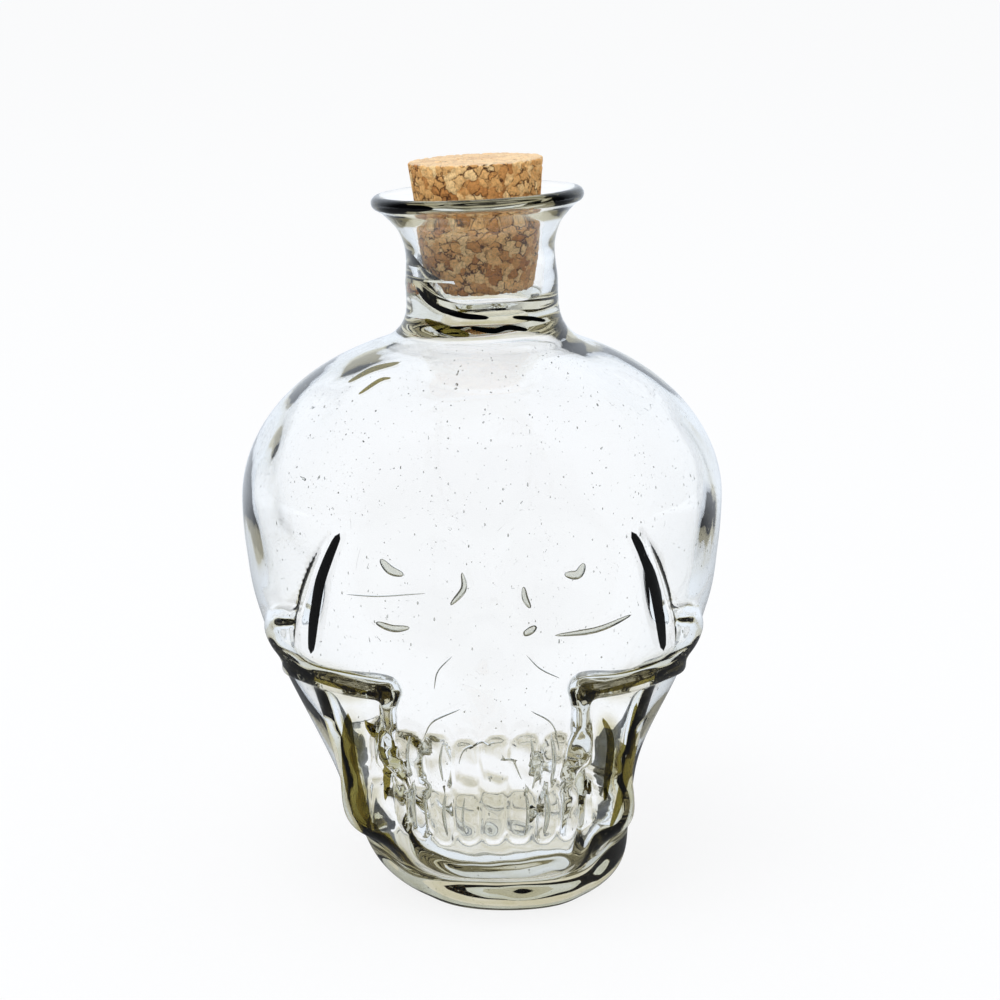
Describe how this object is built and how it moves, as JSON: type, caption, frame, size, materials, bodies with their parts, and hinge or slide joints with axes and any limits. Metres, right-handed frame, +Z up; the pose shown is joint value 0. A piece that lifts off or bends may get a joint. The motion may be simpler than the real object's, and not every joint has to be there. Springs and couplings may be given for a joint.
{
  "type": "skull-shaped glass bottle with cork",
  "caption": "Clear glass decanter moulded as a human skull, with cheekbone ledges, teeth, a round neck, a flared lip and a tapered cork stopper.",
  "frame": {"origin": "middle of the bottle's outline, on the plane of its resting face", "axes": "+Z up through the neck, -Y out of the face, +X to the right of someone who looks at the face"},
  "size_m": [0.122, 0.1361, 0.1843],
  "materials": {
    "glass": "clear recycled glass with a faint olive tint where it is thick, smooth outside, with fine seeds",
    "cork": "agglomerated cork, pale tan with brown grain and small pits"
  },
  "bodies": {
    "bottle": {"glass_bottle": "glass"},
    "stopper": {"cork_stopper": "cork"}
  },
  "joints": [
    {"name": "stopper_pull", "type": "slide", "parent": "bottle", "child": "stopper", "axis": [-0.0488, 0, 0.9988], "range_m": [0, 0.07]}
  ]
}
